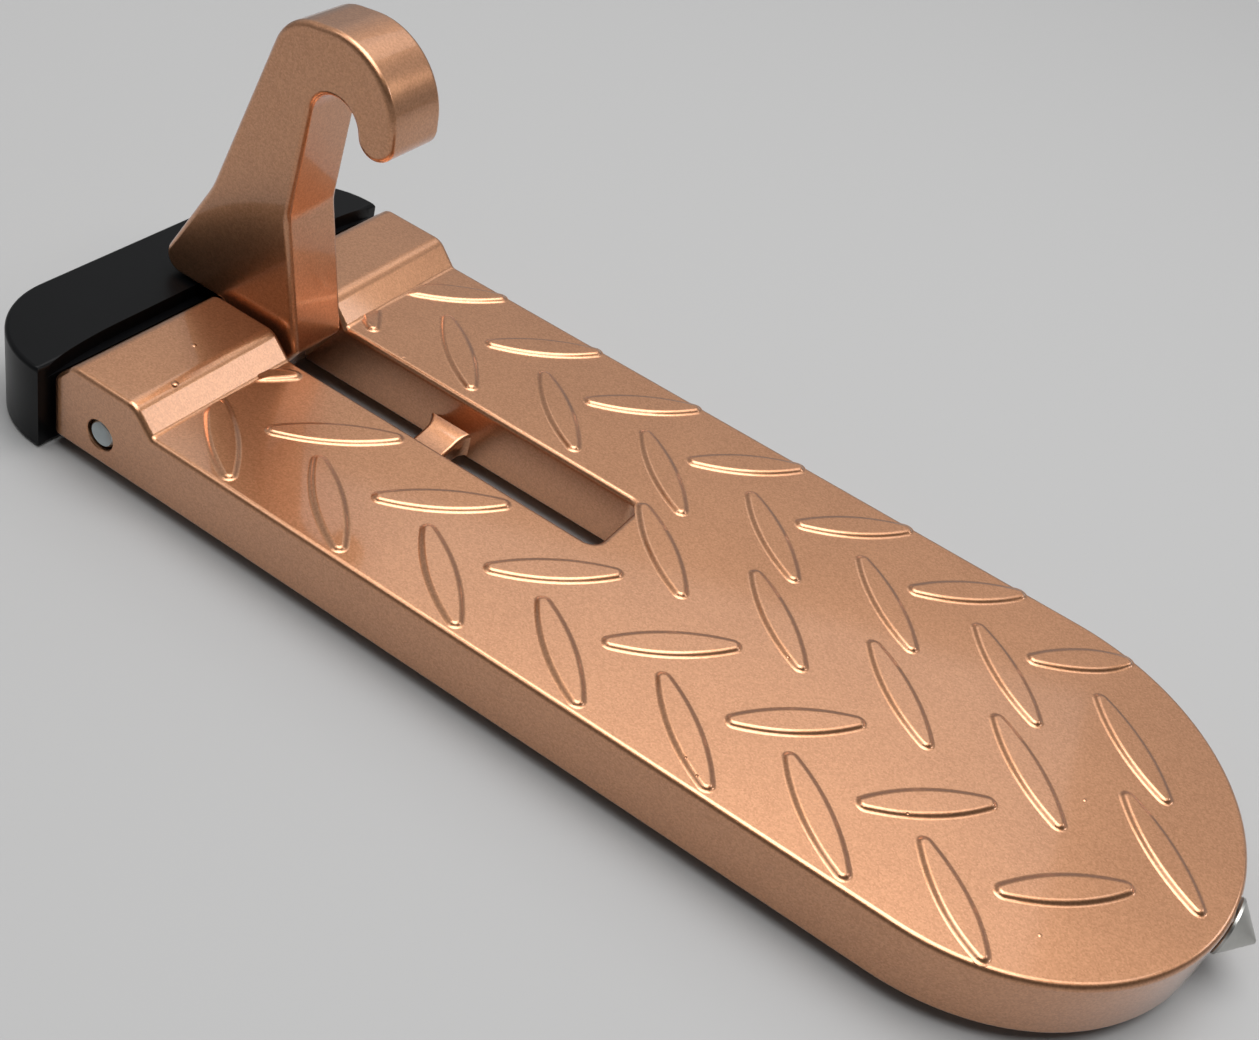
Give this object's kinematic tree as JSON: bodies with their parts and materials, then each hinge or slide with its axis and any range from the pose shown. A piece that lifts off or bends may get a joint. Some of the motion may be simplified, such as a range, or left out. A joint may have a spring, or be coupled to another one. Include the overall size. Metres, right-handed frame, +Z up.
{
  "type": "car door latch step",
  "caption": "Foldable step that hangs on a car's door striker by a hinged hook: a slotted tread plate with raised bars, a rubber buffer on its inner end and a steel point in its rounded end.",
  "frame": {"origin": "under the middle of the whole step, at the height of the buffer's underside", "axes": "+X from the buffer towards the rounded end, +Y along the hinge pin, +Z up with the hook standing"},
  "size_m": [0.1642, 0.0636, 0.0559],
  "materials": {
    "copper_paint": "satin copper metallic paint over a casting",
    "black_rubber": "matte moulded black",
    "bright_steel": "fine turned steel"
  },
  "bodies": {
    "step": {"step_plate": "copper_paint", "hinge_pin": "bright_steel", "buffer_pad": "black_rubber", "breaker_point": "bright_steel"},
    "hook": {"latch_hook": "copper_paint"}
  },
  "joints": [
    {"name": "hook_fold", "type": "hinge", "parent": "step", "child": "hook", "pos_m": [-0.0603, 0, 0.00633], "axis": [0, 1, 0], "range_deg": [0, 80]}
  ]
}
